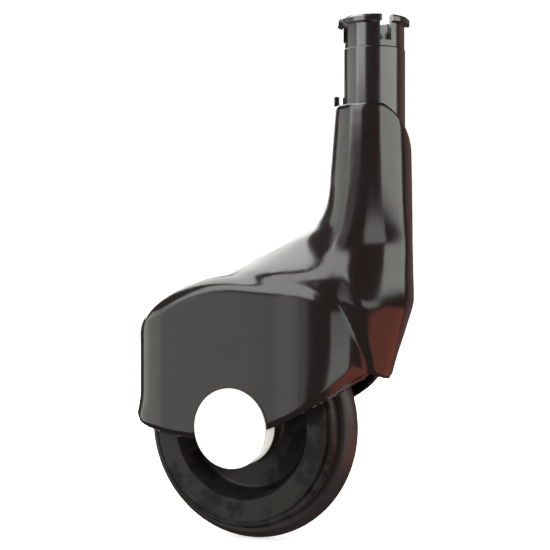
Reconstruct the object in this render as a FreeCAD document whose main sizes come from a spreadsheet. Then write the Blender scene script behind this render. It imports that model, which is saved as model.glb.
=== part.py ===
"""Hooded swivel caster for a chair: a moulded hood on a plug-in stem, with one wheel behind the stem.

The origin is on the swivel axis in the plane of the hood's upper rim. +Z is up along the stem,
the wheel trails towards -X, and its axle lies along Y. Every size is in millimetres.
"""
import FreeCAD
import Part
import math
import os
import re
import Sketcher

doc = FreeCAD.newDocument("chair_caster")
sheet = doc.addObject("Spreadsheet::Sheet", "Sizes")

SIZES = {
    # Where the wheel is, seen from the swivel axis at the rim
    "trail_past_wheel": 4.5,
    "neck_over_wheel": 52.0,
    # Stem
    "sleeve_radius": 8.0,
    "sleeve_wall": 2.0,
    "sleeve_relief": 0.4,
    "sleeve_stand": 14.4,
    "sleeve_depth": 38.0,
    "collar_radius": 7.8,
    "collar_ring": 1.5,
    "collar_spigot": 6.0,
    "finger_height": 7.7,
    "finger_wall": 1.2,
    "finger_slot": 3.0,
    "hook_reach": 1.3,
    "hook_height": 1.6,
    "hook_slant": 0.5,
    # Swivel
    "pin_radius": 4.0,
    "running_gap": 0.05,
    "end_play": 0.1,
    "bush_length": 12.0,
    "bush_flange": 1.0,
    "thrust_washer_height": 0.9,
    "washer_height": 1.0,
    "washer_gap": 0.1,
    "pin_head_radius": 7.0,
    "pin_head_height": 2.5,
    "pin_top": 6.0,
    "clip_height": 0.9,
    "clip_depth": 0.6,
    "clip_gap": 0.5,
    "clip_opening": 4.0,
    "upper_bush_top": 2.3,
    # Hood
    "hood_wall": 1.6,
    "cover_over_wheel": 10.0,
    "cover_shift": -0.5,
    "cover_half_width": 12.3,
    "nose_past_wheel": 2.6,
    "cover_edge": 4.5,
    "rear_past_wheel": 2.6,
    "roof_past_rear": 2.8,
    "rear_corner": 19.5,
    "roof_slope": 5.0,
    "side_arc": 20.0,
    "side_arc_run": 15.6,
    "neck_gap": 0.25,
    "neck_wall": 1.6,
    "neck_front_extra": 0.35,
    "neck_rear_less": 0.55,
    "neck_flare_rise": 24.0,
    "neck_flare_arc": 20.0,
    "heel_over_wheel": 2.6,
    "saddle_reach": 18.5,
    "saddle_rise": 10.9,
    "saddle_slope": 23.3,
    "saddle_step": 2.4,
    "boss_wall": 1.5,
    "floor_thickness": 8.0,
    "edge_arc": 58.5,
    "edge_arc_back": 9.5,
    "edge_dip": 3.3,
    "edge_front": 45.0,
    "tail_edge_rise": 14.6,
    "tail_edge_fall": 11.0,
    "tail_bottom": 12.5,
    "scoop_start": 1.5,
    "scoop_reach": 9.8,
    "scoop_drop": 13.0,
    "scoop_arc": 16.0,
    "scoop_turn": 28.0,
    "tab_turn": 206.0,
    "tab_width": 2.6,
    "tab_inset": 0.45,
    "tab_wall": 1.35,
    "tab_height": 2.5,
    # Axle and its caps
    "axle_radius": 3.0,
    "axle_inset": 0.9,
    "cap_flange_radius": 10.3,
    "cap_flange": 0.8,
    "cap_radius": 9.9,
    "cap_neck_radius": 8.8,
    "cap_depth": 5.6,
    "cap_gap": 0.05,
    "axle_washer": 0.7,
    "axle_washer_radius": 6.0,
    # Wheel
    "wheel_radius": 30.0,
    "wheel_side_gap": 3.45,
    "face_inner": 19.2,
    "rim_band": 5.3,
    "floor_circle": 16.5,
    "web_half": 1.2,
    "hub_radius": 9.0,
    "hub_side_gap": 0.2,
    "face_groove": 0.7,
    "face_groove_depth": 0.9,
    "tyre_stand": 3.3,
    "shoulder_step": 0.65,
    "shoulder_bevel": 0.7,
    "shoulder_band": 3.2,
    "tyre_depth": 5.8,
    "tread_rise": 2.1,
    "tread_arc": 4.6,
    "hub_bush_radius": 4.6,
    "hub_bush_apart": 0.6,
    "hub_bush_flange": 0.8,
    "hub_bush_flange_radius": 6.2,
    "hub_play": 0.15,
}


# Sizes that follow the ones above, so that what fits together stays together
FOLLOWS = {
    "trail": "wheel_radius + trail_past_wheel",
    "axle_drop": "wheel_radius + neck_over_wheel",
    "cover_radius": "wheel_radius + cover_over_wheel",
    "cover_nose": "wheel_radius + nose_past_wheel - cover_half_width",
    "cover_rear": "wheel_radius + rear_past_wheel",
    "roof_rear": "cover_rear + roof_past_rear",
    "side_arc_from": "cover_rear - side_arc_run",
    "heel_height": "wheel_radius + heel_over_wheel",
    "clip_reach": "sleeve_radius - sleeve_wall - clip_gap - pin_radius",
    "axle_half_length": "cover_half_width - axle_inset",
    "cap_inner_end": "cover_half_width - cap_depth",
    "hub_half": "cap_inner_end - axle_washer - hub_bush_flange - hub_side_gap",
    "hub_bush_length": "hub_half - hub_bush_apart",
    "face_half_width": "cover_half_width - hood_wall - wheel_side_gap",
    "shoulder_half": "face_half_width - shoulder_step",
    "channel_half": "shoulder_half - shoulder_band",
    "face_outer": "wheel_radius - rim_band",
    "shoulder_radius": "wheel_radius - tyre_stand",
    "channel_radius": "wheel_radius - tyre_depth",
    "tread_edge_radius": "wheel_radius - tread_rise",
}


def fill_sheet():
    for row, (name, value) in enumerate(SIZES.items(), start=1):
        sheet.set(f"A{row}", name)
        sheet.set(f"B{row}", str(value))
        sheet.setAlias(f"B{row}", name)
    doc.recompute()


def bind(text):
    """Turn size names in a sum into references to the sheet."""
    def reference(match):
        name = match.group()
        return f"({bind(FOLLOWS[name])})" if name in FOLLOWS else "Sizes." + name

    return re.sub(r"\b(?!sqrt\b|sin\b|cos\b)[a-z_]+", reference, text)


def size(text):
    """The present value of a sum of sizes."""
    return float(sheet.evalExpression(bind(text)))


def origin_plane(body, role):
    return next(item for item in body.Origin.OriginFeatures if item.Role == role)


def outline_sketch(body, name, points, arcs, plane):
    """A closed outline with its corners bound to the sheet. arcs maps a side to its radius and its swell."""
    sketch = body.newObject("Sketcher::SketchObject", name)
    sketch.AttachmentSupport = (origin_plane(body, plane), "")
    sketch.MapMode = "FlatFace"
    corners = [FreeCAD.Vector(size(across), size(along), 0) for across, along in points]
    count = len(points)
    starts = []
    for side in range(count):
        start, end = corners[side], corners[(side + 1) % count]
        if side in arcs:
            radius, swell = size(arcs[side][0]), arcs[side][1]
            edge, first = arc_side(start, end, radius, swell)
        else:
            edge, first = Part.LineSegment(start, end), 1
        sketch.addGeometry(edge, False)
        starts.append(first)
    for side in range(count):
        following = (side + 1) % count
        sketch.addConstraint(
            Sketcher.Constraint("Coincident", side, 3 - starts[side], following, starts[following])
        )
    for side, (across, along) in enumerate(points):
        pin_corner(sketch, side, starts[side], "DistanceX", across, -2)
        pin_corner(sketch, side, starts[side], "DistanceY", along, -1)
        if side in arcs:
            number = sketch.addConstraint(Sketcher.Constraint("Radius", side, size(arcs[side][0])))
            sketch.setExpression(f"Constraints[{number}]", bind(arcs[side][0]))
    return sketch


def arc_side(start, end, radius, swell):
    """An arc between two corners that swells to the left (1) or right (-1) of the way from start to end."""
    chord = end - start
    left = FreeCAD.Vector(-chord.y, chord.x, 0).normalize()
    rise = radius - math.sqrt(radius**2 - (chord.Length / 2) ** 2)
    middle = (start + end) / 2 + left * rise * swell
    # An arc is kept anticlockwise, so the one that swells to the left starts at its other end
    edge = Part.Arc(start, middle, end)
    return edge, (2 if swell > 0 else 1)


def pin_corner(sketch, side, end, kind, text, axis):
    if text == "0":
        sketch.addConstraint(Sketcher.Constraint("PointOnObject", side, end, axis))
        return
    number = sketch.addConstraint(Sketcher.Constraint(kind, -1, 1, side, end, size(text)))
    sketch.setExpression(f"Constraints[{number}]", bind(text))


def new_body(label):
    body = doc.addObject("PartDesign::Body", label)
    body.Label = label
    return body


def turned(label, points, arcs=None, plane="XZ_Plane"):
    """A piece turned about the outline's upright axis: +Z on the XZ plane, +Y on the XY plane."""
    body = new_body(label)
    sketch = outline_sketch(body, label + "_outline", points, arcs or {}, plane)
    turn = body.newObject("PartDesign::Revolution", label + "_turn")
    turn.Profile = sketch
    turn.ReferenceAxis = (sketch, ["V_Axis"])
    turn.Angle = 360
    return body


def pushed(label, points, length, arcs=None, plane="XZ_Plane"):
    """A plate of the outline's shape, pushed out equally to both sides of its plane."""
    body = new_body(label)
    sketch = outline_sketch(body, label + "_outline", points, arcs or {}, plane)
    pad = body.newObject("PartDesign::Pad", label + "_pad")
    pad.Profile = sketch
    pad.Midplane = True
    pad.setExpression("Length", bind(length))
    return body


def place(item, across="0", along="0", up="0", turn=0.0):
    """Set an object down, each coordinate bound to the sheet, turned about Z."""
    item.Placement = FreeCAD.Placement(FreeCAD.Vector(), FreeCAD.Rotation(FreeCAD.Vector(0, 0, 1), turn))
    for axis, text in (("x", across), ("y", along), ("z", up)):
        item.setExpression(f"Placement.Base.{axis}", bind(text))
    return item


def on_axle(item, turn=0.0):
    return place(item, across="-trail", up="-axle_drop", turn=turn)


def joined(label, pieces):
    whole = doc.addObject("Part::MultiFuse", label)
    whole.Shapes = pieces
    return whole


def cut(label, base, tool):
    result = doc.addObject("Part::Cut", label)
    result.Base = base
    result.Tool = tool
    return result


def rod(label, radius, height):
    item = doc.addObject("Part::Cylinder", label)
    item.setExpression("Radius", bind(radius))
    item.setExpression("Height", bind(height))
    return item


# ---------------------------------------------------------------- stem, fixed in the chair leg


def stem_sleeve():
    """The tube. It is full size where the chair leg grips it and eased inside the hood's neck."""
    bore = "sleeve_radius - sleeve_wall"
    return turned("stem_sleeve", [
        (bore, "-sleeve_depth"),
        ("sleeve_radius - sleeve_relief", "-sleeve_depth"),
        ("sleeve_radius - sleeve_relief", "0"),
        ("sleeve_radius", "0"),
        ("sleeve_radius", "sleeve_stand"),
        (bore, "sleeve_stand"),
    ])


def snap_collar():
    """The crown of four hooked fingers, with a spigot pressed into the sleeve's bore."""
    bore = "sleeve_radius - sleeve_wall"
    inner = "collar_radius - finger_wall"
    top = "sleeve_stand + finger_height"
    crown = turned("collar_crown", [
        (f"{bore} - finger_wall", "sleeve_stand - collar_spigot"),
        (bore, "sleeve_stand - collar_spigot"),
        (bore, "sleeve_stand"),
        ("collar_radius", "sleeve_stand"),
        ("collar_radius", f"{top} - hook_height"),
        ("collar_radius + hook_reach", f"{top} - hook_height"),
        ("collar_radius + hook_reach", f"{top} - hook_slant"),
        ("collar_radius + hook_reach - hook_slant", top),
        (inner, top),
        (inner, "sleeve_stand + collar_ring"),
        (f"{bore} - finger_wall", "sleeve_stand + collar_ring"),
    ])
    slots = []
    for turn in (45, 135):
        slot = pushed(f"collar_slot_{turn}", [
            ("-collar_radius - 2 * hook_reach", "sleeve_stand + collar_ring"),
            ("collar_radius + 2 * hook_reach", "sleeve_stand + collar_ring"),
            ("collar_radius + 2 * hook_reach", f"{top} + hook_height"),
            ("-collar_radius - 2 * hook_reach", f"{top} + hook_height"),
        ], "finger_slot")
        slots.append(place(slot, turn=turn))
    return cut("snap_collar", crown, joined("collar_slots", slots))


def upper_swivel_bush():
    return turned("upper_swivel_bush", [
        ("pin_radius + running_gap", "upper_bush_top - bush_length"),
        ("sleeve_radius - sleeve_wall", "upper_bush_top - bush_length"),
        ("sleeve_radius - sleeve_wall", "upper_bush_top"),
        ("pin_radius + running_gap", "upper_bush_top"),
    ])


def lower_swivel_bush():
    return turned("lower_swivel_bush", [
        ("pin_radius + running_gap", "-sleeve_depth - bush_flange"),
        ("sleeve_radius - sleeve_relief", "-sleeve_depth - bush_flange"),
        ("sleeve_radius - sleeve_relief", "-sleeve_depth"),
        ("sleeve_radius - sleeve_wall", "-sleeve_depth"),
        ("sleeve_radius - sleeve_wall", "bush_length - sleeve_depth"),
        ("pin_radius + running_gap", "bush_length - sleeve_depth"),
    ])


# ---------------------------------------------------------------- kingpin and what is on it

FLOOR_TOP = "-sleeve_depth - bush_flange - end_play - thrust_washer_height"
FLOOR_UNDERSIDE = FLOOR_TOP + " - floor_thickness"
HEAD_TOP = FLOOR_UNDERSIDE + " - washer_height"
CLIP_UNDERSIDE = "upper_bush_top + end_play + washer_height"


def kingpin():
    """Headed pin from below, pressed through the hood's floor, with a groove for its clip near the top."""
    groove = "pin_radius - clip_depth"
    return turned("kingpin", [
        ("0", HEAD_TOP + " - pin_head_height"),
        ("pin_head_radius", HEAD_TOP + " - pin_head_height"),
        ("pin_head_radius", HEAD_TOP),
        ("pin_radius", HEAD_TOP),
        ("pin_radius", CLIP_UNDERSIDE),
        (groove, CLIP_UNDERSIDE),
        (groove, CLIP_UNDERSIDE + " + clip_height"),
        ("pin_radius", CLIP_UNDERSIDE + " + clip_height"),
        ("pin_radius", "pin_top"),
        ("0", "pin_top"),
    ])


def washer(label, underside, height, outer):
    inner = "pin_radius + washer_gap"
    return turned(label, [
        (inner, underside),
        (outer, underside),
        (outer, f"{underside} + {height}"),
        (inner, f"{underside} + {height}"),
    ])


def kingpin_clip():
    """Open retaining ring that springs into the kingpin's groove."""
    inner = "pin_radius - clip_depth"
    ring = turned("clip_ring", [
        (inner, CLIP_UNDERSIDE),
        ("pin_radius + clip_reach", CLIP_UNDERSIDE),
        ("pin_radius + clip_reach", CLIP_UNDERSIDE + " + clip_height"),
        (inner, CLIP_UNDERSIDE + " + clip_height"),
    ])
    opening = pushed("clip_mouth", [
        ("0", CLIP_UNDERSIDE + " - clip_height"),
        ("pin_radius + 2 * clip_reach", CLIP_UNDERSIDE + " - clip_height"),
        ("pin_radius + 2 * clip_reach", CLIP_UNDERSIDE + " + 2 * clip_height"),
        ("0", CLIP_UNDERSIDE + " + 2 * clip_height"),
    ], "clip_opening")
    return cut("kingpin_clip", ring, opening)


# ---------------------------------------------------------------- hood shell

# How much wider the neck gets for each millimetre below the rim: to the front, to the rear and to each side
NECK_TAPER = (0.089, 0.026, 0.011)
# How much the tail draws in for each millimetre below the heel: at its ends and at each side
TAIL_TAPER = (0.33, 0.30)
# How much of the sweep's arc the neck follows before it runs on to the heel
SWEEP_SHARE = 0.85
# Half widths of the saddle as shares of the wheel cover's, from its top down
SADDLE_WIDTHS = [0.80, 0.82, 0.85, 0.88, 0.91, 0.94, 0.95, 0.94, 0.90]


def oval_wire(low, high, half_width, height):
    """A smooth level oval between its two ends. It starts at the rear, so that a skin can't twist."""
    middle, half_length = (low + high) / 2, (high - low) / 2
    count = 32
    points = []
    for step in range(count):
        angle = 2 * math.pi * step / count
        along, across = half_length * math.cos(angle), half_width * math.sin(angle)
        points.append(FreeCAD.Vector(middle + along, across, height))
    curve = Part.BSplineCurve()
    curve.interpolate(Points=points, PeriodicFlag=True)
    return Part.Wire([curve.toShape()])


def lofted(label, ovals, straight=False):
    """A closed skin through level ovals, each given as front end, rear end, half width and height."""
    item = doc.addObject("Part::Feature", label)
    item.Shape = Part.makeLoft([oval_wire(*oval) for oval in ovals], True, straight)
    return item


def neck_oval(height):
    """The neck's outline at a height over the axle. Its front sweeps forward in an arc to the saddle."""
    down = size("axle_drop") - height
    rim = size("sleeve_radius + neck_gap + neck_wall")
    flare_from = size("cover_radius + neck_flare_rise")
    flare_arc = size("neck_flare_arc")
    flare_end = flare_from - SWEEP_SHARE * flare_arc
    flare = 0
    if height < flare_from:
        fall = flare_from - max(height, flare_end)
        flare = flare_arc - math.sqrt(flare_arc**2 - fall**2)
    if height < flare_end:
        flare *= (height - size("heel_height")) / (flare_end - size("heel_height"))
    front = rim + size("neck_front_extra") + NECK_TAPER[0] * down + flare
    rear = rim - size("neck_rear_less") + NECK_TAPER[1] * down
    return -front, rear, rim + NECK_TAPER[2] * down, height - size("axle_drop")


def neck_block():
    top, bottom, count = size("axle_drop"), size("heel_height"), 18
    heights = [top + (bottom - top) * step / (count - 1) for step in range(count)]
    return lofted("neck_block", [neck_oval(height) for height in heights])


def tail_block(label, inset, top):
    """The tail carries on from the heel as a cone that draws in round the pivot."""
    front, rear, half_width, heel = neck_oval(size("heel_height"))
    bottom = size("tail_bottom - axle_drop")
    ovals = []
    for height in sorted({top, heel, bottom}, reverse=True):
        below = max(heel - height, 0)
        ovals.append((
            front + TAIL_TAPER[0] * below + inset,
            rear - TAIL_TAPER[0] * below - inset,
            half_width - TAIL_TAPER[1] * below - inset,
            height,
        ))
    return lofted(label, ovals, straight=True)


def saddle_block(label, inset):
    """The ridge from the cover's roof up to the neck. Below the roof its front end goes straight down."""
    ridge_top = size("cover_radius + saddle_rise")
    ridge_front = -size("saddle_reach")
    lean = math.tan(math.radians(size("saddle_slope")))
    rear = size("sleeve_radius - running_gap")
    ovals = []
    for number, share in enumerate(SADDLE_WIDTHS):
        height = ridge_top + (1 - number) * size("saddle_step")
        crest = max(height, size("cover_radius - hood_wall"))
        front = ridge_front - (ridge_top - crest) / lean
        half_width = share * size("cover_half_width")
        ovals.append((front + inset, rear - inset, half_width - inset, height - inset - size("axle_drop")))
    return lofted(label, ovals)


def cover_side_view(label, inset):
    """The cover from the side: a wide arc over the wheel, a short roof and a tighter rear corner."""
    front_arc, rear_arc = f"(cover_radius - {inset})", f"(rear_corner - {inset})"
    front = f"cover_shift - {front_arc}"
    rear = f"roof_rear - {inset}"
    rear_middle = "(roof_rear - rear_corner)"
    rear_rise = (
        f"(cover_radius - rear_corner - ({rear_middle} - cover_shift) * sin(roof_slope)) / cos(roof_slope)"
    )
    return on_axle(pushed(label, [
        (front, "-2 * cover_radius"),
        (front, "0"),
        (f"cover_shift + {front_arc} * sin(roof_slope)", f"{front_arc} * cos(roof_slope)"),
        (f"{rear_middle} + {rear_arc} * sin(roof_slope)", f"{rear_rise} + {rear_arc} * cos(roof_slope)"),
        (rear, rear_rise),
        (rear, "-2 * cover_radius"),
    ], "4 * cover_half_width", arcs={1: (front_arc, 1), 3: (rear_arc, 1)}))


def cover_plan(label, inset):
    """The cover from above: a round nose, parallel sides, then sides that curve in to the tail."""
    half_width = f"cover_half_width - {inset}"
    arc = f"(side_arc - {inset})"
    rear = f"(cover_rear - {inset})"
    rear_half_width = f"(sqrt({arc}^2 - ({rear} - side_arc_from)^2) - side_arc + cover_half_width)"
    slab = pushed(label + "_slab", [
        ("-cover_nose", f"-({half_width})"),
        ("side_arc_from", f"-({half_width})"),
        (rear, f"-{rear_half_width}"),
        (rear, rear_half_width),
        ("side_arc_from", half_width),
        ("-cover_nose", half_width),
    ], "6 * cover_radius", arcs={1: (arc, -1), 3: (arc, -1)}, plane="XY_Plane")
    nose = rod(label + "_nose", half_width, "6 * cover_radius")
    place(nose, across="-trail - cover_nose", up="-axle_drop - 3 * cover_radius")
    return joined(label, [on_axle(slab), nose])


def cover_block(label, inset):
    """The wheel cover, where its side view and its plan meet, with the edge between them rounded."""
    sharp = doc.addObject("Part::MultiCommon", label + "_sharp")
    sharp.Shapes = [cover_plan(label + "_plan", inset), cover_side_view(label + "_side_view", inset)]
    doc.recompute()
    radius = size(f"cover_edge - {inset}")
    item = doc.addObject("Part::Fillet", label)
    item.Base = sharp
    rim = [number for number, edge in enumerate(sharp.Shape.Edges, start=1) if on_rim(edge)]
    item.Edges = [(number, radius, radius) for number in rim]
    return item


def on_rim(edge):
    """Whether an edge runs along the top of the cover. Upright and crosswise ones only join smooth faces."""
    box = edge.BoundBox
    return box.XLength > size("running_gap") and box.ZMin > size("-axle_drop - cover_radius")


def pushed_disc(label, radius):
    disc = rod(label, radius, "4 * cover_half_width")
    disc.Placement.Rotation = FreeCAD.Rotation(FreeCAD.Vector(1, 0, 0), -90)
    disc.setExpression("Placement.Base.x", bind("-trail"))
    disc.setExpression("Placement.Base.y", bind("-2 * cover_half_width"))
    disc.setExpression("Placement.Base.z", bind("-axle_drop"))
    return disc


def lower_edge_cutter():
    """What is taken away under the hood: a long arc past the wheel, then a gentle slope under the tail."""
    low = "-edge_dip - 2 * cover_radius"
    middle = "(edge_arc - edge_dip)"
    tail_from = f"sqrt(edge_arc^2 - ({middle} - tail_edge_rise)^2) - edge_arc_back"
    front_rise = f"{middle} - sqrt(edge_arc^2 - (edge_front - edge_arc_back)^2)"
    return on_axle(pushed("edge_cutter", [
        ("-edge_front", low),
        ("2 * cover_radius", low),
        ("2 * cover_radius", "tail_edge_rise - tail_edge_fall"),
        (tail_from, "tail_edge_rise"),
        ("-edge_front", front_rise),
    ], "6 * cover_half_width", arcs={3: ("edge_arc", 1)}))


def scoop_cutter():
    """Lowers the rim on one side of the neck along an arc."""
    cutter = pushed("scoop_cutter", [
        ("scoop_start", "0"),
        ("scoop_reach", "-scoop_drop"),
        ("2 * scoop_reach", "-scoop_drop"),
        ("2 * scoop_reach", "scoop_drop"),
        ("scoop_start", "scoop_drop"),
    ], "4 * scoop_reach", arcs={0: ("scoop_arc", 1)})
    return place(cutter, turn=size("scoop_turn"))


def key_tab():
    """The small upstanding key on the rim."""
    inner = "sleeve_radius + neck_gap + tab_inset"
    tab = pushed("key_tab", [
        (inner, "-tab_height"),
        (f"{inner} + tab_wall", "-tab_height"),
        (f"{inner} + tab_wall", "tab_height - 0.5 * tab_wall"),
        (f"{inner} + 0.5 * tab_wall", "tab_height"),
        (inner, "tab_height"),
    ], "tab_width")
    return place(tab, turn=size("tab_turn"))


def hood_shell():
    heel = size("heel_height - axle_drop")
    outside = joined("hood_outside", [
        cover_block("cover_outside", "0"),
        neck_block(),
        saddle_block("saddle_outside", 0),
        tail_block("tail_outside", 0, heel),
    ])
    wall = size("hood_wall")
    hollows = joined("hood_hollows", [
        cover_block("cover_inside", "hood_wall"),
        saddle_block("saddle_inside", wall),
        tail_block("tail_inside", wall, size(FLOOR_UNDERSIDE)),
    ])
    boss = rod("pivot_boss", "sleeve_radius + neck_gap + boss_wall", "axle_drop")
    place(boss, up=FLOOR_UNDERSIDE)
    bore = rod("neck_bore", "sleeve_radius + neck_gap", "axle_drop")
    place(bore, up=FLOOR_TOP)
    pin_hole = rod("pin_hole", "pin_radius", "3 * floor_thickness")
    place(pin_hole, up=FLOOR_UNDERSIDE + " - floor_thickness")
    notches = pushed_disc("cap_notches", "cap_neck_radius")
    cavity = cut("hood_cavity", hollows, boss)
    keyed = joined("hood_keyed", [outside, key_tab()])
    taken = joined("hood_taken", [cavity, bore, pin_hole, notches, lower_edge_cutter(), scoop_cutter()])
    return cut("hood_shell", keyed, taken)


# ---------------------------------------------------------------- axle and caps

FACE_OF_CAP = "cover_half_width + cap_flange"


def axle_pin():
    return on_axle(turned("axle_pin", [
        ("0", "-axle_half_length"),
        ("axle_radius", "-axle_half_length"),
        ("axle_radius", "axle_half_length"),
        ("0", "axle_half_length"),
    ], plane="XY_Plane"))


def axle_cap(label, side):
    """White plug: a disc outside the hood, a neck in the wall's notch, and a body that holds the axle."""
    inside_wall = "cover_half_width - hood_wall"
    outline = [
        ("0", "axle_half_length"),
        ("axle_radius", "axle_half_length"),
        ("axle_radius", "cap_inner_end"),
        ("cap_radius", "cap_inner_end"),
        ("cap_radius", f"{inside_wall} - cap_gap"),
        ("cap_neck_radius - cap_gap", f"{inside_wall} - cap_gap"),
        ("cap_neck_radius - cap_gap", "cover_half_width + cap_gap"),
        ("cap_flange_radius", "cover_half_width + cap_gap"),
        ("cap_flange_radius", FACE_OF_CAP),
        ("0", FACE_OF_CAP),
    ]
    return on_axle(turned(label, outline, plane="XY_Plane"), turn=180 if side < 0 else 0)


def axle_washer(label, side):
    return on_axle(turned(label, [
        ("axle_radius + washer_gap", "cap_inner_end - axle_washer"),
        ("axle_washer_radius", "cap_inner_end - axle_washer"),
        ("axle_washer_radius", "cap_inner_end"),
        ("axle_radius + washer_gap", "cap_inner_end"),
    ], plane="XY_Plane"), turn=180 if side < 0 else 0)


# ---------------------------------------------------------------- wheel


def mirrored_outline(half):
    """An outline and its reflection in the wheel's middle plane, walked in one loop."""
    other = [(radius, f"-({along})") for radius, along in reversed(half)]
    return half + other


def wheel_core():
    """Hub, web and rim in one moulding, with a channel round its rim for the tyre."""
    return on_axle(turned("wheel_core", mirrored_outline([
        ("channel_radius", "channel_half"),
        ("shoulder_radius", "channel_half"),
        ("shoulder_radius", "shoulder_half - shoulder_bevel"),
        ("shoulder_radius - shoulder_bevel", "shoulder_half"),
        ("face_outer + face_groove", "shoulder_half"),
        ("face_outer + face_groove", "face_half_width - face_groove_depth"),
        ("face_outer", "face_half_width - face_groove_depth"),
        ("face_outer", "face_half_width"),
        ("face_inner", "face_half_width"),
        ("floor_circle", "web_half"),
        ("hub_radius", "web_half"),
        ("hub_radius", "hub_half"),
        ("hub_bush_radius", "hub_half"),
    ]), plane="XY_Plane"))


def tyre():
    """Ring with a round tread, seated in the rim's channel."""
    return on_axle(turned("tyre", [
        ("channel_radius", "-channel_half"),
        ("tread_edge_radius", "-channel_half"),
        ("wheel_radius", "0"),
        ("tread_edge_radius", "channel_half"),
        ("channel_radius", "channel_half"),
    ], arcs={1: ("tread_arc", -1), 2: ("tread_arc", -1)}, plane="XY_Plane"))


def hub_bush(label, side):
    flange_face = "hub_half + hub_bush_flange"
    return on_axle(turned(label, [
        ("axle_radius + running_gap", "hub_half - hub_bush_length"),
        ("hub_bush_radius", "hub_half - hub_bush_length"),
        ("hub_bush_radius", "hub_half"),
        ("hub_bush_flange_radius", "hub_half"),
        ("hub_bush_flange_radius", flange_face),
        ("axle_radius + running_gap", flange_face),
    ], plane="XY_Plane"), turn=180 if side < 0 else 0)


# ---------------------------------------------------------------- build, test and write


def build():
    fill_sheet()
    return [
        stem_sleeve(),
        snap_collar(),
        upper_swivel_bush(),
        lower_swivel_bush(),
        kingpin(),
        washer("thrust_washer", FLOOR_TOP, "thrust_washer_height", "sleeve_radius - sleeve_relief"),
        washer("kingpin_head_washer", HEAD_TOP, "washer_height", "pin_head_radius"),
        washer("kingpin_top_washer", "upper_bush_top + end_play", "washer_height", "pin_radius + clip_reach"),
        kingpin_clip(),
        hood_shell(),
        axle_pin(),
        axle_cap("near_axle_cap", -1),
        axle_cap("far_axle_cap", 1),
        axle_washer("near_axle_washer", -1),
        axle_washer("far_axle_washer", 1),
        wheel_core(),
        tyre(),
        hub_bush("near_hub_bush", -1),
        hub_bush("far_hub_bush", 1),
    ]


def test(nodes):
    for item in doc.Objects:
        if {"Invalid", "Error"} & set(item.State):
            raise RuntimeError(f"{item.Label} did not build: {item.State}")
    for node in nodes:
        if node.Shape.isNull() or not node.Shape.isValid() or not node.Shape.Solids:
            raise RuntimeError(f"{node.Label} has no valid solid")


def write(nodes):
    os.makedirs("parts", exist_ok=True)
    for node in nodes:
        node.Shape.exportStep(f"parts/{node.Label}.step")
        print(f"{node.Label}: {len(node.Shape.Solids)} solid, {node.Shape.Volume:.0f} cubic mm")


nodes = build()
doc.recompute()
test(nodes)
write(nodes)
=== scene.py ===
# %% [markdown]
# # A hooded chair caster
# A glossy black moulding covers one wheel and carries on up round a steel kingpin. Over it stands
# the stem, a tube with four snap fingers that plugs into the chair's leg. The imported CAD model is
# loaded first, as a fixed frame: every new piece is made round it, in metres, and rides on one of
# its bodies. Working on a measured frame keeps each piece true to size.

# %% Load the frame
import math
import bpy
import numpy as np
from mathutils import Matrix, Vector


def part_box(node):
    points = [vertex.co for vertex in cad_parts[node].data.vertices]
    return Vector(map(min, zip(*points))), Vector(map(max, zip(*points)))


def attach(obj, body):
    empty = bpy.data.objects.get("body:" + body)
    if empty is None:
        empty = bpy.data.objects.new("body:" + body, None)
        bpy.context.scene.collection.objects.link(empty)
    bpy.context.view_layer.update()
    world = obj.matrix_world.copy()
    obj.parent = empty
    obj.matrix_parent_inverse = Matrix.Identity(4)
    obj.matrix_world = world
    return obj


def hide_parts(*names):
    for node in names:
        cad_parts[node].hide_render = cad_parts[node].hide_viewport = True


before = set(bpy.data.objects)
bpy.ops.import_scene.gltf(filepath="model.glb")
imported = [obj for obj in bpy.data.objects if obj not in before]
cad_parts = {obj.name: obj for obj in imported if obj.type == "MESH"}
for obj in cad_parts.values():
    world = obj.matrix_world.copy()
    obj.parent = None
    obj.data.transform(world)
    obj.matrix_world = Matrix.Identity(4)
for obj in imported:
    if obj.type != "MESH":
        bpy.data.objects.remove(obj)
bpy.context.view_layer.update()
MM = 0.001

# %% [markdown]
# ## Where things are
# The frame answers each question of place: the tyre's box gives the axle and the wheel's radius, the
# sleeve's box gives the stem. Reading them, instead of typing them, means that a change in the CAD
# model moves the looks with it.

# %% Read the places
tyre_low, tyre_high = (Vector(corner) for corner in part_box("tyre"))
AXLE = (tyre_low + tyre_high) / 2
WHEEL_RADIUS = (tyre_high.z - tyre_low.z) / 2
sleeve_low, sleeve_high = (Vector(corner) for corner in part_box("stem_sleeve"))
STEM_RADIUS = sleeve_high.x
print("axle, mm:", [round(number / MM, 2) for number in AXLE], "wheel radius:", round(WHEEL_RADIUS / MM, 2))

# %% [markdown]
# ## Small tools
# An operator works on whatever is selected, so each step starts from a clean selection. These
# helpers select one piece, step in and out of edit mode, and apply a modifier with its settings.

# %% Selection and modifiers
def only(piece):
    """Selects one piece and makes it the active one."""
    if bpy.context.mode != "OBJECT":
        bpy.ops.object.mode_set(mode="OBJECT")
    bpy.ops.object.select_all(action="DESELECT")
    piece.select_set(True)
    bpy.context.view_layer.objects.active = piece
    return piece


def edit_all(piece):
    """Opens a piece in edit mode with all of it selected."""
    only(piece)
    bpy.ops.object.mode_set(mode="EDIT")
    bpy.ops.mesh.select_all(action="SELECT")


def close_edit():
    bpy.ops.object.mode_set(mode="OBJECT")


def modify(piece, kind, **settings):
    """Adds one modifier, sets it and applies it."""
    only(piece)
    modifier = piece.modifiers.new(kind.title(), kind)
    for name, value in settings.items():
        setattr(modifier, name, value)
    bpy.ops.object.modifier_apply(modifier=modifier.name)
    return piece


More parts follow.
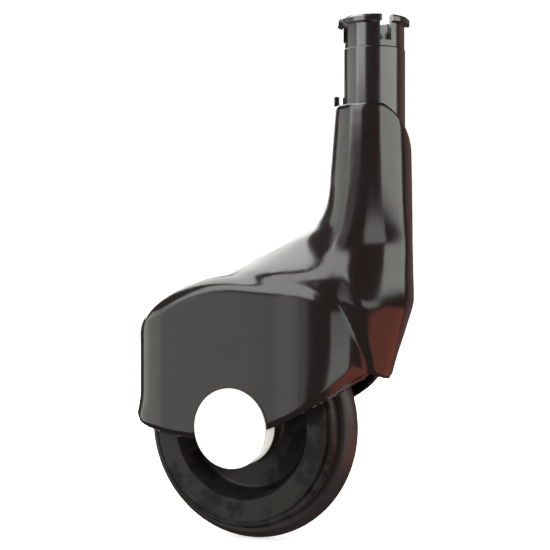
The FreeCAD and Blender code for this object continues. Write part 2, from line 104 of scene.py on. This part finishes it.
def soften(piece, width=0.25 * MM, segments=3, smooth_angle=40):
    """Rounds the hard edges as a mould does, then shades the piece smooth."""
    modify(piece, "BEVEL", width=width, segments=segments, limit_method="ANGLE",
           angle_limit=math.radians(30), use_clamp_overlap=True)
    only(piece)
    bpy.ops.object.shade_smooth_by_angle(angle=math.radians(smooth_angle))
    return modify(piece, "WEIGHTED_NORMAL", keep_sharp=True)

# %% [markdown]
# ## Turning a piece on the lathe
# Most caster parts are turned. On a lathe only half a section matters, so the outline is traced as
# a chain of extruded points, each given as radius and distance along the axis, and spun right round.
# Primitives stacked on each other would also do, but would leave seams where they meet.

# %% The lathe
def lathe(name, outline, axis, centre, steps=144):
    """Spins an outline of (radius, along), in millimetres, round an axis through the centre."""
    axis = Vector(axis)
    out = Vector((1, 0, 0))
    points = [Vector(centre) + out * radius * MM + axis * along * MM for radius, along in outline]
    only(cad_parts["tyre"])
    bpy.ops.object.select_all(action="DESELECT")
    bpy.ops.mesh.primitive_plane_add(size=MM, location=(0, 0, 0))
    piece = bpy.context.object
    piece.name = piece.data.name = name
    edit_all(piece)
    bpy.ops.mesh.merge(type="CENTER")
    bpy.ops.transform.translate(value=points[0])
    for here, there in zip(points, points[1:] + points[:1]):
        bpy.ops.mesh.extrude_region_move(TRANSFORM_OT_translate={"value": there - here})
    bpy.ops.mesh.select_all(action="SELECT")
    bpy.ops.mesh.remove_doubles(threshold=0.001 * MM)
    bpy.ops.mesh.spin(steps=steps, angle=math.tau, center=centre, axis=axis)
    bpy.ops.mesh.select_all(action="SELECT")
    bpy.ops.mesh.remove_doubles(threshold=0.001 * MM)
    bpy.ops.mesh.normals_make_consistent(inside=False)
    close_edit()
    print(f"{name}: {len(piece.data.polygons)} faces")
    return piece


def mirrored(half):
    """An outline and its reflection in the wheel's middle plane, as one loop."""
    return half + [(radius, -along) for radius, along in reversed(half)]

# %% [markdown]
# ## Shader maths as Python
# A material is a graph of nodes. Written out node by node it is hard to read, so one small class
# wraps a socket and lets `*` and `+` add the Math nodes, and one method makes any other node. What
# varies over a surface goes only to colour, roughness or bump.

# %% Expressions and finishes
class Value:
    """A number that varies over the surface: the output of some node."""

    def __init__(self, finish, socket):
        self.finish, self.socket = finish, socket

    def math(self, operation, *others):
        sockets = dict(enumerate([self.socket, *others]))
        return self.finish.node("ShaderNodeMath", {"operation": operation}, sockets)

    def __add__(self, other):
        return self.math("ADD", other)

    def __mul__(self, other):
        return self.math("MULTIPLY", other)

    __radd__, __rmul__ = __add__, __mul__


class Finish:
    """One material: a Principled shader, and the nodes that feed it."""

    def __init__(self, name, **uniform):
        self.material = bpy.data.materials.new(name)
        self.material.use_nodes = True
        self.tree = self.material.node_tree
        self.shader = self.tree.nodes["Principled BSDF"]
        for socket, value in uniform.items():
            self.shader.inputs[socket.replace("_", " ")].default_value = value
        self.place = self.node("ShaderNodeTexCoord", {}, {}, "Object")

    def node(self, kind, settings, sockets, output=0):
        """Adds a node: its settings first, then values or links for its sockets."""
        added = self.tree.nodes.new(kind)
        for name, value in settings.items():
            setattr(added, name, value)
        for socket, value in sockets.items():
            value = value.socket if isinstance(value, Value) else value
            if isinstance(value, bpy.types.NodeSocket):
                self.tree.links.new(value, added.inputs[socket])
            else:
                added.inputs[socket].default_value = value
        return Value(self, added.outputs[output])

    def noise(self, scale, detail=3.0, stretch=(1, 1, 1)):
        """Cloudy noise, in features per metre, that may be drawn out along an axis."""
        place = self.node("ShaderNodeMapping", {}, {"Vector": self.place, "Scale": stretch})
        return self.node("ShaderNodeTexNoise", {}, {"Vector": place, "Scale": scale, "Detail": detail}, "Fac")

    def band(self, value, low, high):
        """0 below low, 1 above high, and a smooth climb between."""
        return self.node("ShaderNodeMapRange", {"interpolation_type": "SMOOTHSTEP"},
                         {"Value": value, "From Min": low, "From Max": high})

    def blend(self, share, first, second):
        """A colour between two, by share."""
        return self.node("ShaderNodeMix", {"data_type": "RGBA"}, {"Factor": share, 6: first, 7: second}, 2)

    def feed(self, **values):
        for socket, value in values.items():
            self.tree.links.new(value.socket, self.shader.inputs[socket.replace("_", " ")])
        return self

    def bump(self, height, depth, normal=None):
        """Relief from a height of 0 to 1, depth metres deep."""
        sockets = {"Height": height, "Distance": depth, "Strength": 1.0}
        if normal:
            sockets["Normal"] = normal
        return self.node("ShaderNodeBump", {}, sockets, "Normal")


# %% [markdown]
# ## Gloss black of the hood and the stem
# The real mouldings are black plastic, polished like a mirror in the mould. Black gloss has almost
# no colour of its own: it shows soft reflections, a little spread by fine rubbing marks. So the base
# colour is nearly black, and the life comes from roughness and a very shallow waviness.

# %% Gloss black
def gloss_black(name, tint, roughness, index=1.5):
    finish = Finish(name, IOR=index)
    cloud = finish.noise(90, 4)
    rubbing = finish.noise(900, 2, (1, 1, 0.25))
    base = finish.blend(cloud, (*tint, 1), (*(0.72 * part for part in tint), 1))
    worn = finish.band(cloud * 0.6 + rubbing * 0.4, 0.42, 0.62)
    sink = finish.bump(finish.noise(55, 1), 0.03 * MM)
    grain = finish.bump(finish.noise(2600, 2), 0.0012 * MM, sink)
    return finish.feed(Base_Color=base, Roughness=worn * 0.05 + roughness, Normal=grain)


hood_black = gloss_black("hood_gloss_black", (0.0085, 0.0064, 0.0062), 0.14)
stem_black = gloss_black("stem_gloss_black", (0.0090, 0.0070, 0.0068), 0.16, 1.6)

# %% [markdown]
# ## White cap, satin wheel, rubber, steel and bush plastic
# The wheel is moulded with a fine satin texture. Darker, uneven blotches are painted into its colour
# as reflections of a dark object, and the same blotches are rougher. Its tyre is a softer, slightly
# violet black. The caps are clean white plastic.

# %% The other finishes
def satin_white():
    finish = Finish("cap_satin_white", IOR=1.46)
    cloud = finish.noise(160, 3)
    base = finish.blend(cloud, (0.69, 0.705, 0.68, 1), (0.65, 0.665, 0.64, 1))
    fine = finish.noise(3000, 2)
    return finish.feed(Base_Color=base, Roughness=cloud * 0.12 + 0.34, Normal=finish.bump(fine, 0.002 * MM))


def satin_wheel():
    finish = Finish("wheel_satin_black", Specular_IOR_Level=0.19)
    cloud = finish.noise(70, 6)
    spots = finish.noise(420, 5)
    # Painted reflection: darker blotches in the base colour stand in for reflections of a dark object; the
    # same blotches are also rougher.
    rough_blotch_and_painted_reflection = finish.band(cloud * 0.75 + spots * 0.25, 0.47, 0.56)
    base = finish.blend(rough_blotch_and_painted_reflection, (0.0135, 0.0115, 0.0105, 1), (0.0050, 0.0040, 0.0036, 1))
    grain = finish.bump(finish.noise(2400, 3), 0.010 * MM)
    return finish.feed(Base_Color=base, Roughness=rough_blotch_and_painted_reflection * 0.26 + 0.34, Normal=grain)


def tread_rubber():
    finish = Finish("tyre_violet_black", Specular_IOR_Level=0.45)
    cloud = finish.noise(110, 4, (1, 3, 1))
    base = finish.blend(cloud, (0.0180, 0.0145, 0.0145, 1), (0.0090, 0.0070, 0.0070, 1))
    grain = finish.bump(finish.noise(1800, 4), 0.014 * MM)
    return finish.feed(Base_Color=base, Roughness=cloud * 0.14 + 0.38, Normal=grain)


def zinc_steel():
    finish = Finish("zinc_plated_steel", Metallic=1.0)
    turning = finish.noise(400, 3, (1, 1, 12))
    base = finish.blend(turning, (0.62, 0.64, 0.68, 1), (0.48, 0.49, 0.50, 1))
    return finish.feed(Base_Color=base, Roughness=turning * 0.18 + 0.24,
                       Normal=finish.bump(turning, 0.004 * MM))


def bearing_plastic():
    finish = Finish("bush_natural_plastic", IOR=1.5)
    cloud = finish.noise(260, 3)
    base = finish.blend(cloud, (0.80, 0.77, 0.69, 1), (0.70, 0.66, 0.57, 1))
    return finish.feed(Base_Color=base, Roughness=cloud * 0.15 + 0.42,
                       Normal=finish.bump(finish.noise(1500, 3), 0.004 * MM))


cap_white, wheel_black, tyre_black = satin_white(), satin_wheel(), tread_rubber()
steel, bush_white = zinc_steel(), bearing_plastic()


def settle(piece, node, body, finish):
    """Gives a finished piece its material and its body, and hides the CAD node that it stands for."""
    piece.data.materials.clear()
    piece.data.materials.append(finish.material)
    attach(piece, body)
    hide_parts(node)

# %% [markdown]
# ## The hood
# The hood is one thin moulding: a round-nosed cover over the wheel, a saddle that climbs to the
# neck, and a cone under the heel. On the real part these run into each other in soft fillets that a
# CAD solid leaves as creases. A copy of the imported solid, wrapped in an even skin of small squares
# by a voxel remesh and then relaxed where the fillets belong, gives those soft runs and keeps every
# opening true to size.

# %% Wrap the solid in an even skin
SKIN = 0.5 * MM
hood = bpy.data.objects.new("hood_moulding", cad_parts["hood_shell"].data.copy())
bpy.context.collection.objects.link(hood)
edit_all(hood)
bpy.ops.mesh.remove_doubles(threshold=0.002 * MM)
close_edit()
modify(hood, "REMESH", mode="VOXEL", voxel_size=SKIN, use_smooth_shade=True)
print("hood skin:", len(hood.data.polygons), "squares")

# %% [markdown]
# ## Soft runs between neck, saddle and cover
# A Smooth modifier pulls each point towards its neighbours. One light pass takes the steps of the
# voxels away everywhere. A longer pass, weighted by place, melts the creases: full strength where
# neck, saddle, cover and cone meet, none at the rim, the key and the lower edge.

# %% Reading and weighing points
def points_of(piece):
    flat = np.empty(len(piece.data.vertices) * 3)
    piece.data.vertices.foreach_get("co", flat)
    return flat.reshape(-1, 3)


def normals_of(piece):
    flat = np.empty(len(piece.data.vertices) * 3)
    piece.data.vertex_normals.foreach_get("vector", flat)
    return flat.reshape(-1, 3)


def climb(value, low, high):
    """0 below low, 1 above high, with a smooth climb between; low may be the larger."""
    share = np.clip((value - low) / (high - low), 0, 1)
    return share * share * (3 - 2 * share)


def about_axle(points):
    """Positions in millimetres with the axle at zero."""
    return (points - np.array(AXLE)) / MM


def weigh(piece, name, weights):
    """Stores a weight for every point, in steps that share one call each."""
    group = piece.vertex_groups.new(name=name)
    steps = np.round(weights * 20).astype(int)
    for step in range(1, 21):
        chosen = np.nonzero(steps == step)[0].tolist()
        if chosen:
            group.add(chosen, step / 20, "REPLACE")
    return group


# %% [markdown]
# ## Saddle, cheeks and crease
# Before the skin is relaxed it is pushed by formula, in millimetres from the axle: the saddle gets
# narrower, the cheeks beside the neck fuller, and the crease between cover and tail moves back. The
# key on the rim is pressed flat here, because so thin a block loses its edges in the skin.

# %% Push the skin, then relax it
SADDLE_NARROWING = 0.36
CREASE_SHIFT, CHEEK_SWELL = 3.2, 1.0

points = points_of(hood)
points[:, 2] = np.minimum(points[:, 2], 0)
x, y, z = about_axle(points).T
narrowing = SADDLE_NARROWING * climb(z, 37.5, 50) * climb(z, 66, 54) * climb(x, 31, 17)
points[:, 1] *= 1 - narrowing
cheek = climb(z, -4, 22) * climb(z, 44, 30)
points[:, 0] += CREASE_SHIFT * MM * cheek * climb(x, 16, 29) * climb(x, 41, 31)
swell = CHEEK_SWELL * climb(z, 47, 36) * climb(x, 12, 26) * climb(x, 38, 28) * climb(np.abs(y), 5, 8)
points[:, 1] += np.sign(y) * MM * swell
hood.data.vertices.foreach_set("co", points.ravel())
modify(hood, "SMOOTH", factor=0.5, iterations=5)
x, y, z = about_axle(points_of(hood)).T
melt = climb(z, 30, 36) * climb(z, 66, 58)
weigh(hood, "melt", melt)
modify(hood, "SMOOTH", factor=0.5, iterations=45, vertex_group="melt")
heel = climb(z, 24, 29) * climb(z, 46, 39) * climb(x, 32, 37)
weigh(hood, "heel", heel)
modify(hood, "SMOOTH", factor=0.5, iterations=70, vertex_group="heel")

# %% [markdown]
# ## The flared skirt and its lip
# Low on the nose the skirt flares out by about a millimetre, and all along the lower edge runs a
# narrow bevel that catches the light. Both are pulled out of the skin by formula: a distance up
# from the edge, and a push along the surface that fades with it.

# %% Shape the skirt
EDGE_ARC, EDGE_ARC_BACK, EDGE_DIP = 58.5, 9.5, 3.3
TAIL_EDGE, TAIL_EDGE_FROM, TAIL_EDGE_SLOPE = 14.6, 32.6, 0.232
LIP_HEIGHT, LIP_DEPTH = 1.6, 0.6
FLARE_HEIGHT, FLARE_REACH, FLARE_FROM = 9.0, 1.0, -22.0
NOSE_MIDDLE = -20.3

points, normals = points_of(hood), normals_of(hood)
x, y, z = about_axle(points).T
above_arc = EDGE_ARC - np.hypot(x + EDGE_ARC_BACK, z - (EDGE_ARC - EDGE_DIP))
above_tail = z - (TAIL_EDGE - TAIL_EDGE_SLOPE * (x - TAIL_EDGE_FROM))
above_edge = np.where(x > TAIL_EDGE_FROM, above_tail, above_arc)
spine = np.clip(x, NOSE_MIDDLE, -AXLE.x / MM)
outward = np.stack([x - spine, y], axis=1)
outward /= np.maximum(np.hypot(*outward.T), 1e-6)[:, None]
faces_out = climb((normals[:, :2] * outward).sum(axis=1), 0.2, 0.7)
lip = -LIP_DEPTH * climb(above_edge, LIP_HEIGHT, 0) * faces_out
flare = FLARE_REACH * climb(z, FLARE_HEIGHT, 0) ** 1.5 * climb(x, FLARE_FROM, FLARE_FROM - 8)
push = (lip + flare)[:, None] * MM
points[:, :2] += outward * push
hood.data.vertices.foreach_set("co", points.ravel())
hood.data.update()
print("hood: lip on", int((lip < 0).sum()), "points, flare on", int((flare > 0.01).sum()))

# %% [markdown]
# ## The key on the rim
# A small upright block stands on the neck's rim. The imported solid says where: its points above the
# rim are turned into line with the block, and their box is its size. The new block has a short foot
# in the rim, and is joined to the hood, since the two are one moulding.

# %% Set the key on the rim
KEY_TURN, KEY_FOOT, KEY_CLEAR = math.radians(206), 0.8 * MM, 0.3 * MM
rim = points_of(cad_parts["hood_shell"])
key = rim[rim[:, 2] > KEY_CLEAR] @ np.array(Matrix.Rotation(KEY_TURN, 3, "Z"))
key_low, key_high = key.min(axis=0), key.max(axis=0)
key_low[2] = -KEY_FOOT
bpy.ops.object.select_all(action="DESELECT")
bpy.ops.mesh.primitive_cube_add(size=1, location=(key_low + key_high) / 2)
block = bpy.context.object
block.scale = key_high - key_low
bpy.ops.object.transform_apply(location=True, rotation=False, scale=True)
block.rotation_euler.z = KEY_TURN
bpy.ops.object.transform_apply(location=False, rotation=True, scale=False)
modify(block, "BEVEL", width=0.3 * MM, segments=3, limit_method="ANGLE")
block.select_set(True)
bpy.context.view_layer.objects.active = hood
hood.select_set(True)
bpy.ops.object.join()
only(hood)
bpy.ops.object.shade_smooth_by_angle(angle=math.radians(60))
settle(hood, "hood_shell", "hood", hood_black)
print("key, mm:", [round(float(number) / MM, 2) for number in key_high - key_low])

# %% [markdown]
# ## The stem
# The stem is a plain tube. Its outline is turned with the bore in it, and its mouth gets a small
# rounded edge, so that a thin line of light runs round it as on the real one.

# %% Turn the tube
SLEEVE_BORE = 6.0
RELIEF, RELIEF_FROM, RELIEF_FULL = 0.4, -15, -16
stem_top, stem_foot = sleeve_high.z / MM, sleeve_low.z / MM
tube = lathe("stem_tube", [
    (SLEEVE_BORE, stem_foot),
    (STEM_RADIUS / MM - RELIEF, stem_foot),
    (STEM_RADIUS / MM - RELIEF, RELIEF_FULL),
    (STEM_RADIUS / MM, RELIEF_FROM),
    (STEM_RADIUS / MM, stem_top),
    (SLEEVE_BORE, stem_top),
], axis=(0, 0, 1), centre=(0, 0, 0))
soften(tube, 0.3 * MM)
settle(tube, "stem_sleeve", "stem", stem_black)

# %% [markdown]
# ## The snap crown
# The crown is turned whole, as a ring with a hooked rim, and then two crossing slots are cut through
# it, which leaves four fingers. Cutting after turning keeps every finger on the same round.

# %% Turn the crown and cut its slots
CROWN_RADIUS, CROWN_WALL, RING = 7.8, 1.2, 1.5
HOOK_REACH, HOOK_HEIGHT, HOOK_SLANT = 1.3, 1.6, 0.5
SLOT, SLOT_LENGTH, SLOT_HEIGHT = 3.0, 30, 12
SPIGOT_FIT, SEAT_GAP = 0.02, 0.01
crown_foot, crown_top = (corner[2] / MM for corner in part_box("snap_collar"))
crown = lathe("snap_crown", [
    (SLEEVE_BORE - CROWN_WALL, crown_foot),
    (SLEEVE_BORE - SPIGOT_FIT, crown_foot),
    (SLEEVE_BORE - SPIGOT_FIT, stem_top + SEAT_GAP),
    (CROWN_RADIUS, stem_top + SEAT_GAP),
    (CROWN_RADIUS, crown_top - HOOK_HEIGHT),
    (CROWN_RADIUS + HOOK_REACH, crown_top - HOOK_HEIGHT),
    (CROWN_RADIUS + HOOK_REACH, crown_top - HOOK_SLANT),
    (CROWN_RADIUS + HOOK_REACH - HOOK_SLANT, crown_top),
    (CROWN_RADIUS - CROWN_WALL, crown_top),
    (CROWN_RADIUS - CROWN_WALL, stem_top + RING),
    (SLEEVE_BORE - CROWN_WALL, stem_top + RING),
], axis=(0, 0, 1), centre=(0, 0, 0), steps=96)
for turn in (45, 135):
    bpy.ops.object.select_all(action="DESELECT")
    height = SLOT_HEIGHT * MM
    bpy.ops.mesh.primitive_cube_add(size=1, location=(0, 0, (stem_top + RING) * MM + height / 2))
    slot = bpy.context.object
    slot.scale = (SLOT_LENGTH * MM, SLOT * MM, height)
    slot.rotation_euler.z = math.radians(turn)
    bpy.ops.object.transform_apply(location=True, rotation=True, scale=True)
    modify(crown, "BOOLEAN", operation="DIFFERENCE", solver="EXACT", object=slot)
    bpy.data.objects.remove(slot)
soften(crown, 0.2 * MM)
settle(crown, "snap_collar", "stem", stem_black)

# %% [markdown]
# ## The white caps
# A cap is a disc that lies on the hood, with a body behind it that holds the end of the axle. It is
# turned about the axle. The face stays plain, with a finely rounded rim.

# %% Turn the caps
FLANGE, FLANGE_HEIGHT, BODY, NECK = 10.3, 0.75, 9.9, 8.75
INNER_WALL, INNER_END, AXLE_BORE, AXLE_END = 10.65, 6.7, 3.02, 11.45
for node, side in (("near_axle_cap", -1), ("far_axle_cap", 1)):
    low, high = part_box(node)
    face = max(abs(low[1]), abs(high[1])) / MM
    cap = lathe(node.replace("axle_cap", "white_cap"), [
        (0, face),
        (FLANGE, face),
        (FLANGE, face - FLANGE_HEIGHT),
        (NECK, face - FLANGE_HEIGHT),
        (NECK, INNER_WALL),
        (BODY, INNER_WALL),
        (BODY, INNER_END),
        (AXLE_BORE, INNER_END),
        (AXLE_BORE, AXLE_END),
        (0, AXLE_END),
    ], axis=(0, side, 0), centre=AXLE)
    soften(cap, 0.22 * MM)
    settle(cap, node, "hood", cap_white)

# %% [markdown]
# ## The wheel
# The wheel is one moulding: a hub, a thin web at the bottom of a deep dish on each side, a flat
# ring, a groove and a bevelled shoulder. The dish runs into the web and the hub in fillets, so the
# outline gets extra points there, on small arcs. Half of the section is written down, and the other
# half is its reflection.

# %% Turn the wheel
def fillet(centre, radius, start, end, steps=5):
    """Points on a small arc, its angles in degrees, from the radius direction towards the along direction."""
    angles = [math.radians(start + (end - start) * step / steps) for step in range(steps + 1)]
    return [(centre[0] + radius * math.cos(angle), centre[1] + radius * math.sin(angle)) for angle in angles]


CHANNEL_FLOOR, CHANNEL_HALF, CHANNEL_BEVEL = 24.2, 3.42, 25.6
SHOULDER, SHOULDER_HALF, SHOULDER_BEVEL = 26.7, 6.6, 0.7
GROOVE_OUTER, GROOVE_FLOOR = 25.4, 6.35
FACE_OUTER, FACE_INNER, FACE = 24.7, 19.2, 7.25
HUB, HUB_BORE, HUB_HALF = 9.0, 4.62, 5.0
wheel = lathe("wheel_moulding", mirrored([
    (CHANNEL_FLOOR, CHANNEL_HALF),
    (CHANNEL_BEVEL, CHANNEL_HALF),
    (25.9, 4.1),
    (SHOULDER, 4.3),
    (SHOULDER, SHOULDER_HALF - SHOULDER_BEVEL),
    (SHOULDER - SHOULDER_BEVEL, SHOULDER_HALF),
    (GROOVE_OUTER, SHOULDER_HALF),
    (GROOVE_OUTER, GROOVE_FLOOR),
    (FACE_OUTER, GROOVE_FLOOR),
    (FACE_OUTER, FACE),
    (FACE_INNER, FACE),
    *fillet((15.9, 2.5), 1.3, -23, -90),
    *fillet((10.2, 2.4), 1.2, -90, -180),
    (HUB, HUB_HALF),
    (HUB_BORE, HUB_HALF),
]), axis=(0, 1, 0), centre=AXLE)
soften(wheel, 0.22 * MM)
settle(wheel, "wheel_core", "wheel", wheel_black)

# %% [markdown]
# ## The tyre
# The tyre fills the channel between the shoulders. Its tread is round in section, drawn as an arc
# through the edge of the channel and the crown of the tread.

# %% Turn the tyre
TREAD_EDGE, TREAD_HALF, SEAT = 27.9, 3.38, 24.22
rise = WHEEL_RADIUS / MM - TREAD_EDGE
tread_arc = (TREAD_HALF**2 + rise**2) / (2 * rise)
tread_middle = WHEEL_RADIUS / MM - tread_arc
half_angle = math.degrees(math.asin(TREAD_HALF / tread_arc))
tyre = lathe("tyre_ring", [
    (SEAT, -TREAD_HALF),
    *fillet((tread_middle, 0), tread_arc, -half_angle, half_angle, steps=20),
    (SEAT, TREAD_HALF),
], axis=(0, 1, 0), centre=AXLE)
soften(tyre, 0.15 * MM)
settle(tyre, "tyre", "wheel", tyre_black)

# %% [markdown]
# ## What the hood hides
# The kingpin, its washers and clip, the axle and the bushes keep their CAD shapes. They show only
# from below, between hood and wheel, so a good steel and a bearing plastic are all they need.

# %% Finish the hidden pieces
STEEL_NODES = ["kingpin", "kingpin_head_washer", "kingpin_top_washer", "kingpin_clip", "axle_pin",
               "near_axle_washer", "far_axle_washer"]
BUSH_NODES = ["thrust_washer", "upper_swivel_bush", "lower_swivel_bush", "near_hub_bush", "far_hub_bush"]
for names, finish in ((STEEL_NODES, steel), (BUSH_NODES, bush_white)):
    for name in names:
        for material_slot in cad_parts[name].material_slots:
            material_slot.material = finish.material
print(len(STEEL_NODES) + len(BUSH_NODES), "CAD pieces kept")

# %% [markdown]
# ## Floor and light
# A pale floor and a pale surround keep attention on the object. The camera sees the surround white,
# but reflections see it nearly dark. So what the gloss reflects is the soft panels, and the dark
# gaps between them draw the form.

# %% Floor and surround
FLOOR_RADIUS = 3.0
SURROUND_SEEN, SURROUND_REFLECTED = 1.05, 0.08
floor_height = AXLE.z - WHEEL_RADIUS
only(hood)
bpy.ops.object.select_all(action="DESELECT")
bpy.ops.mesh.primitive_circle_add(vertices=96, radius=FLOOR_RADIUS, fill_type="NGON",
                                  location=(0, 0, floor_height))
floor = bpy.context.object
floor.name = "floor"
floor.visible_glossy = False
pale = Finish("pale_floor", Roughness=0.9, Emission_Strength=1.0)
shade = pale.noise(3, 2)
away = pale.node("ShaderNodeVectorMath", {"operation": "LENGTH"}, {0: pale.place}, "Value")
far = pale.band(away, 0.15, 0.9)
pale.feed(Base_Color=pale.blend(shade, (0.80, 0.80, 0.80, 1), (0.76, 0.76, 0.76, 1)),
          Emission_Color=pale.blend(far, (0.62, 0.62, 0.62, 1), (1.0, 1.0, 1.0, 1)))
floor.data.materials.append(pale.material)

world = bpy.context.scene.world or bpy.data.worlds.new("surround")
bpy.context.scene.world = world
world.use_nodes = True
nodes, links = world.node_tree.nodes, world.node_tree.links
background = nodes["Background"]
path = nodes.new("ShaderNodeLightPath")
strength = nodes.new("ShaderNodeMapRange")
strength.inputs["To Min"].default_value = SURROUND_REFLECTED
strength.inputs["To Max"].default_value = SURROUND_SEEN
links.new(path.outputs["Is Camera Ray"], strength.inputs["Value"])
links.new(strength.outputs["Result"], background.inputs["Strength"])
tint = nodes.new("ShaderNodeMix")
tint.data_type = "RGBA"
tint.inputs[6].default_value = (1.0, 0.66, 0.70, 1)
tint.inputs[7].default_value = (1, 1, 1, 1)
links.new(path.outputs["Is Camera Ray"], tint.inputs["Factor"])
links.new(tint.outputs[2], background.inputs["Color"])

# %% [markdown]
# ## Soft panels
# Each panel is given by where a reflection would see it, as an azimuth and an elevation from the
# object. The cover's side reflects the row on the left, which fades toward the rear; the neck the
# panels beside it; the saddle the two high ones. A warm card on the floor colours the tail.

# %% Hang the panels
def panel(name, azimuth, elevation, distance, width, height, radiance, tint=(1, 1, 1), aim=(0, 0, -0.045)):
    """A rectangular soft light. Azimuth 0 is in front, at -Y, and 90 is at +X."""
    around, up = math.radians(azimuth), math.radians(elevation)
    away = Vector((math.sin(around) * math.cos(up), -math.cos(around) * math.cos(up), math.sin(up)))
    data = bpy.data.lights.new(name, "AREA")
    data.shape, data.size, data.size_y = "RECTANGLE", width, height
    data.energy, data.color = radiance * math.pi * width * height, tint
    light = bpy.data.objects.new(name, data)
    bpy.context.collection.objects.link(light)
    light.location = Vector(aim) + away * distance
    light.rotation_euler = away.to_track_quat("Z", "Y").to_euler()
    light.visible_camera = False
    return light


COOL, FAINT_COOL = (0.95, 1.0, 0.94), (0.98, 1.0, 0.98)
panel("far_left_panel", -82, -10, 0.8, 0.55, 0.46, 1.75, COOL)
panel("left_panel", -51.5, -9, 0.8, 0.325, 0.42, 2.0, COOL)
panel("left_panel_fading", -33.5, -9, 0.8, 0.18, 0.42, 1.5, COOL)
panel("left_panel_end", -21.5, -9, 0.8, 0.16, 0.42, 0.9, COOL)
panel("neck_panel", -62, 10, 0.8, 0.78, 0.17, 2.3, COOL)
panel("streak_panel", 31, -10.75, 0.8, 0.55, 0.26, 2.4, (0.95, 1.0, 0.95))
panel("saddle_panel", -25, 21.5, 0.8, 0.48, 0.30, 5.0, FAINT_COOL)
panel("right_panel", 80, 13.5, 0.8, 1.06, 0.355, 4.1, (0.97, 1.0, 0.95))
panel("high_panel", -64, 60, 0.9, 1.30, 0.60, 7.0, FAINT_COOL)
panel("back_left_panel", -130, 24, 0.9, 0.60, 0.60, 6.0)
panel("back_warmth", 150, 2, 0.8, 0.6, 0.8, 0.40, (1.0, 0.50, 0.46))
warm_card = panel("warm_card", 88, -28, 0.1, 0.13, 0.17, 1.75, (1.0, 0.235, 0.137))
warm_card.location = (0.093, -0.004, floor_height + 0.0005)
warm_card.rotation_euler = (math.pi, 0, 0)

# %% [markdown]
# ## Camera
# The camera stands level, a third of a metre in front and to the right of the wheel, with a long
# lens, so the hood is seen along its length and upright lines stay upright.

# %% Camera
CAMERA_TURN = 26.015
CAMERA_PLACE = (0.1214, -0.3057, -0.04256)
camera_data = bpy.data.cameras.new("camera")
camera_data.lens, camera_data.sensor_width = 84.587, 36.0
camera_data.clip_start, camera_data.clip_end = 0.01, 20.0
camera = bpy.data.objects.new("camera", camera_data)
bpy.context.collection.objects.link(camera)
camera.location = CAMERA_PLACE
camera.rotation_euler = (math.radians(90), 0, math.radians(CAMERA_TURN))
bpy.context.scene.camera = camera
bpy.context.scene.view_settings.view_transform = "Standard"
